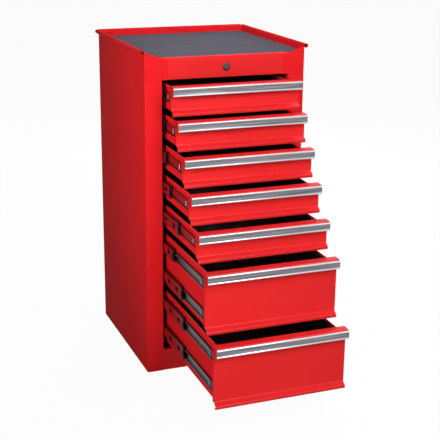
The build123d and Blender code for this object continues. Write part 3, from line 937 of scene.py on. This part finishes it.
# %% Drawer trays
def drawer_tray(at):
    """Raise four walls from a floor, hem the side walls inwards, and round every fold."""
    shape = bmesh.new()
    bmesh.ops.create_grid(shape, x_segments=1, y_segments=1, size=1)
    half_depth = (at.tray_back - at.tray_front) / 2
    bmesh.ops.scale(shape, vec=(at.tray_half, half_depth, 1), verts=shape.verts[:])
    bmesh.ops.translate(shape, vec=(0, at.tray_front + half_depth, at.floor), verts=shape.verts[:])
    top = pull_out(shape, shape.edges[:], (0, 0, at.rim_top - at.floor))
    for side in (-1, 1):
        rim = [edge for edge in top if all(vert.co.x * side > 0 for vert in edge.verts)]
        for step in ((-side * tray_hem_width, 0, 0), (0, 0, -tray_hem_height)):
            rim = pull_out(shape, rim, step)
    bmesh.ops.reverse_faces(shape, faces=shape.faces[:])
    round_edges(shape, inner_edges(shape), tray_bend)
    thicken(shape, sheet)
    shape.normal_update()
    # Faces below the hem that look inwards take the dark paint as painted shade.
    centre = Vector((0, at.tray_front + half_depth, at.rim_top))
    for face in shape.faces:
        place = face.calc_center_median()
        if place.z < at.rim_top - tray_hem_height and face.normal.dot(centre - place) > 0:
            face.material_index = on_painted_shade
    return shape


def tray_catch(at):
    low = at.floor + catch_above_floor
    back = at.tray_back + catch_reach
    return folded(
        "X", [(back, low + catch_lip), (back, low), (at.tray_back, low)], -catch_width / 2, catch_width / 2,
        bend, catch_sheet,
    )


for at in drawers:
    body = joined([drawer_tray(at), tray_catch(at), drawer_front(at)])
    piece(f"{at.name}_sheets", body, at.name, drawer_finishes, [f"{at.name}_body"])
tray_depth = drawers[0].tray_back - drawers[0].tray_front
print("trays:", len(drawers), "bent,", round(tray_depth / mm, 1), "mm deep")

# %% [markdown]
# ## Pull strips
# A pull is an aluminium strip with a raised bead along its top and bottom edge. The flat between them is
# brushed and painted dark as a painted reflection. The top bead is painted lighter as a painted highlight,
# and the lower one darker as painted shade, because it looks down. So the strip gets three finishes,
# picked by where a face lies.

# %% Pull strips
strip_finishes = [brushed, lit_aluminium, shaded_aluminium]
on_flat, on_top_bead, on_low_bead = range(len(strip_finishes))
pull_bead = 4.2 * mm
pull_bead_slope = 1.4 * mm
pull_recess = 1.2 * mm
pull_edge = 0.25 * mm


def pull_strip(at):
    front = at.pull_front
    back = front + pull_thickness
    flat = front + pull_recess
    top, low = at.pull_top, at.pull_low
    outline = [
        (back, low), (back, top), (flat, top), (front, top - pull_bead_slope),
        (front, top - pull_bead + pull_bead_slope), (flat, top - pull_bead), (flat, low + pull_bead),
        (front, low + pull_bead - pull_bead_slope), (front, low + pull_bead_slope), (flat, low),
    ]
    shape = bar("X", outline, -at.pull_half, at.pull_half, pull_edge)
    # The top bead takes the painted highlight and the lower bead the painted shade.
    for face in shape.faces:
        height = face.calc_center_median().z
        face.material_index = on_flat if height < top - pull_bead else on_top_bead
        if height < low + pull_bead:
            face.material_index = on_low_bead
    return shape


for at in drawers:
    node = f"{at.name}_pull"
    piece(f"{node}_strip", pull_strip(at), at.name, strip_finishes, [node])
print("pulls:", len(drawers))

# %% [markdown]
# ## Drawer members of the slides
# A ball slide has three nested members. The one on the drawer is a shallow channel with curved races for
# the balls, riveted to the tray, and a tab bent out near its front is the catch that lets the drawer lift
# off. It is a folded strip with a wide bend, and the tab is a small folded strip of its own, whose front
# faces take a lighter zinc as a painted highlight. On the shallow drawers the members take a dull red as
# a painted reflection of the red around them, and on the deep ones they show as bare zinc.

# %% Drawer members of the slides
rail_sheet = 1.2 * mm
race_radius = 3.0 * mm
drawer_rail_half = 12.0 * mm
drawer_rail_reach = 6.5 * mm
hook_setback = 36.0 * mm
hook_length = 9.0 * mm
hook_height = 13.0 * mm
hook_reach = 4.2 * mm
hook_sheet = 1.5 * mm
hook_bend = 1.6 * mm
hook_front_tilt = 0.5
rivet_radius = 3.2 * mm
rivet_top_radius = 0.6 * rivet_radius
rivet_height = 1.1 * mm
rivet_steps = 20
rivet_shares = [0.03, 0.32, 0.61, 0.9]
on_strip = 0
on_painted_highlight = 2

tray_wall = -drawers[0].tray_half


def slide_levels(node, half):
    """The heights of the one or two slides on each side that a node holds."""
    low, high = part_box(node)
    return sorted({round(low.z + half, 5), round(high.z - half, 5)})


def drawer_member(level, front, back):
    outer = tray_wall - drawer_rail_reach
    rail = folded(
        "Y",
        [(outer, level - drawer_rail_half), (tray_wall, level - drawer_rail_half),
         (tray_wall, level + drawer_rail_half), (outer, level + drawer_rail_half)],
        front, back, race_radius, rail_sheet,
    )
    web = tray_wall - rail_sheet
    hook_front = front + hook_setback
    hook = folded(
        "Z",
        [(web - hook_reach, hook_front + hook_length), (web - hook_reach, hook_front), (web, hook_front)],
        level - hook_height / 2, level + hook_height / 2, hook_bend, hook_sheet,
    )
    # Hook faces that look forward take the lighter zinc, a painted highlight.
    for face in hook.faces:
        face.material_index = on_painted_highlight if face.normal.y < -hook_front_tilt else on_strip
    return [rail, hook] + [rivet(web, front + share * (back - front), level) for share in rivet_shares]


def rivet(web, y, level):
    """A low round head: a flat cone, half of it sunk into the web."""
    shape = bmesh.new()
    turn = Matrix.Rotation(math.radians(-90), 4, "Y")
    place = Matrix.Translation((web, y, level)) @ turn
    bmesh.ops.create_cone(
        shape, cap_ends=True, segments=rivet_steps, radius1=rivet_radius, radius2=rivet_top_radius,
        depth=2 * rivet_height, matrix=place,
    )
    return shape


for at in drawers:
    node = f"{at.name}_rails"
    rail_low, rail_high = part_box(node)
    levels = slide_levels(node, drawer_rail_half)
    # On a shallow drawer the member takes the painted red reflection, on a deep one the zinc.
    strip = zinc_with_red_reflection if len(levels) == 1 else zinc
    finishes = [strip, zinc, highlit_zinc]
    shapes = []
    for level in levels:
        shapes += drawer_member(level, rail_low.y, rail_high.y)
    piece(f"{at.name}_members", both_sides(shapes), at.name, finishes, [node])
print("drawer members:", round((rail_high.y - rail_low.y) / mm, 1), "mm long")

# %% [markdown]
# ## Middle members and their stops
# The middle member wraps round the drawer's one with lips on its edges, and slots in its web save weight.
# Its flat takes a painted red reflection of the two red sheets beside it, its races a painted dark one.
# Its front end carries a black stop, waisted like a bow tie, which the drawer's member runs against. The
# stop's two lugs are blocks that start inside its plate and keep a little off its sides, so that no two
# faces lie in one plane.

# %% Middle members and their stops
mid_rail_half = 16.5 * mm
mid_rail_reach = 10.0 * mm
mid_rail_tip = 2.0 * mm
mid_lip_edge = 12.4 * mm
slot_length = 20.0 * mm
slot_height = 11.0 * mm
slot_cell = 0.65 * slot_height
slot_first = 26.0 * mm
slot_spacing = 64.0 * mm
slot_count = 5
stop_length = 12.0 * mm
stop_waist = 8.0 * mm
stop_notch = 4.0 * mm
stop_clearance = 0.5 * mm
stop_edge = 0.7 * mm
stop_lug_inset = 0.1 * mm


def middle_member(level, front, back):
    tip = tray_wall - mid_rail_tip
    web = tray_wall - mid_rail_reach
    section = [
        (tip, level + mid_lip_edge), (tip, level + mid_rail_half), (web, level + mid_rail_half),
        (web, level - mid_rail_half), (tip, level - mid_rail_half), (tip, level - mid_lip_edge),
    ]
    rail = open_strip("Y", section, front, back, race_radius)
    for step in range(slot_count):
        slot_place = (web, front + slot_first + step * slot_spacing, level)
        stretch = (slot_length - slot_height) / 2
        punch(rail, Vector((-1, 0, 0)), slot_place, slot_cell, slot_height / 2, stretch)
    return thicken(rail, rail_sheet)


def bow_tie_stop(level, front):
    back = front + stop_length
    waist = stop_waist / 2
    flank = waist + stop_notch
    outline = [
        (front, level - mid_rail_half), (back, level - mid_rail_half), (back, level + mid_rail_half),
        (front, level + mid_rail_half), (front, level + flank), (front + stop_notch, level + waist),
        (front + stop_notch, level - waist), (front, level - flank),
    ]
    web = tray_wall - mid_rail_reach
    inner = tray_wall - drawer_rail_reach - stop_clearance
    shapes = [bar("X", outline, web, inner, stop_edge)]
    for side in (-1, 1):
        edges = (level + side * mid_lip_edge, level + side * (mid_rail_half - stop_lug_inset))
        low, high = sorted(edges)
        shapes.append(block(
            web + stop_edge, tray_wall - mid_rail_tip, front + stop_lug_inset, back - stop_lug_inset,
            low, high, stop_edge,
        ))
    return shapes


middle_bodies = sorted(body for body in frame["bodies"] if body.endswith("_middle"))
for body in middle_bodies:
    slide = body.removesuffix("_middle")
    rail_node = f"{slide}_middle_rails"
    stop_node = f"{slide}_stops"
    rail_low, rail_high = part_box(rail_node)
    rails = []
    stops = []
    for level in slide_levels(rail_node, mid_rail_half):
        rails.append(middle_member(level, rail_low.y, rail_high.y))
        stops += bow_tie_stop(level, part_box(stop_node)[0].y)
    # The flats take the painted red reflection and the races the painted dark reflection.
    piece(f"{slide}_middle_members", both_sides(rails), body, [zinc_with_red_reflection, painted_dark_race], [rail_node])
    piece(f"{slide}_bow_ties", both_sides(stops), body, [black_plastic], [stop_node])

# %% [markdown]
# ## Lock
# A cam lock sits in the header: a chromed bezel with a round shoulder, and a brass plug with a slot for the
# key. The bezel is a profile spun about the lock's axis. The plug is a ring bridged to a narrow slot, whose
# edges are then drawn in to make the keyway.

# %% Lock
bezel_proud = 3.0 * mm
bezel_shoulder = 2.4 * mm
bore_chamfer = 0.45 * mm
shoulder_steps = 6
body_radius = 8.5 * mm
plug_gap = 0.3 * mm
keyway_width = 1.6 * mm
keyway_height = 7.5 * mm
keyway_depth = 9.0 * mm
plug_steps = 32

plug_low, plug_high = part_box("lock_plug")
plug_radius = (plug_high.x - plug_low.x) / 2
bezel_radius = (lock_high.x - lock_low.x) / 2
bore = plug_radius + plug_gap
lock_centre = (0, 0, lock_height)
shoulder_turns = [math.radians(90 * step / shoulder_steps) for step in range(shoulder_steps + 1)]
shoulder = [
    (bezel_radius - bezel_shoulder * (1 - math.sin(turn)),
     lock_low.y + bezel_shoulder * (1 - math.cos(turn)))
    for turn in shoulder_turns
]
housing_profile = [
    (bore, lock_high.y), (bore, lock_low.y + bore_chamfer), (bore + bore_chamfer, lock_low.y), *shoulder,
    (bezel_radius, lock_low.y + bezel_proud), (body_radius, lock_low.y + bezel_proud),
    (body_radius, lock_high.y),
]
housing = turned(housing_profile, lock_centre)
piece("lock_bezel", housing, "cabinet", [chrome], ["lock_housing"])


def lock_plug():
    shape = bmesh.new()
    place = Matrix.Translation((0, plug_low.y, lock_height)) @ Matrix.Rotation(math.radians(90), 4, "X")
    ring = bmesh.ops.create_circle(shape, segments=plug_steps, radius=plug_radius, matrix=place)["verts"]
    outer = edges_of(ring)
    slot = bmesh.ops.create_grid(shape, x_segments=1, y_segments=1, size=0.5, matrix=place)["verts"]
    about = Matrix.Translation((0, 0, -lock_height))
    bmesh.ops.scale(shape, vec=(keyway_width, 1, keyway_height), verts=slot, space=about)
    inner = edges_of(slot)
    bmesh.ops.delete(shape, geom=slot[0].link_faces[:], context="FACES_ONLY")
    bmesh.ops.bridge_loops(shape, edges=outer + inner)
    for edges, depth in ((outer, plug_high.y - plug_low.y), (inner, keyway_depth)):
        end = pull_out(shape, edges, (0, depth, 0))
        bmesh.ops.contextual_create(shape, geom=end)
    bmesh.ops.recalc_face_normals(shape, faces=shape.faces[:])
    return shape


plug = lock_plug()
plug_mm3 = plug.calc_volume() / mm ** 3
print("lock:", round(2 * bezel_radius / mm, 1), "mm bezel, plug of", round(plug_mm3), "mm3")
piece("lock_barrel", plug, "lock_turn", [brass], ["lock_plug"])
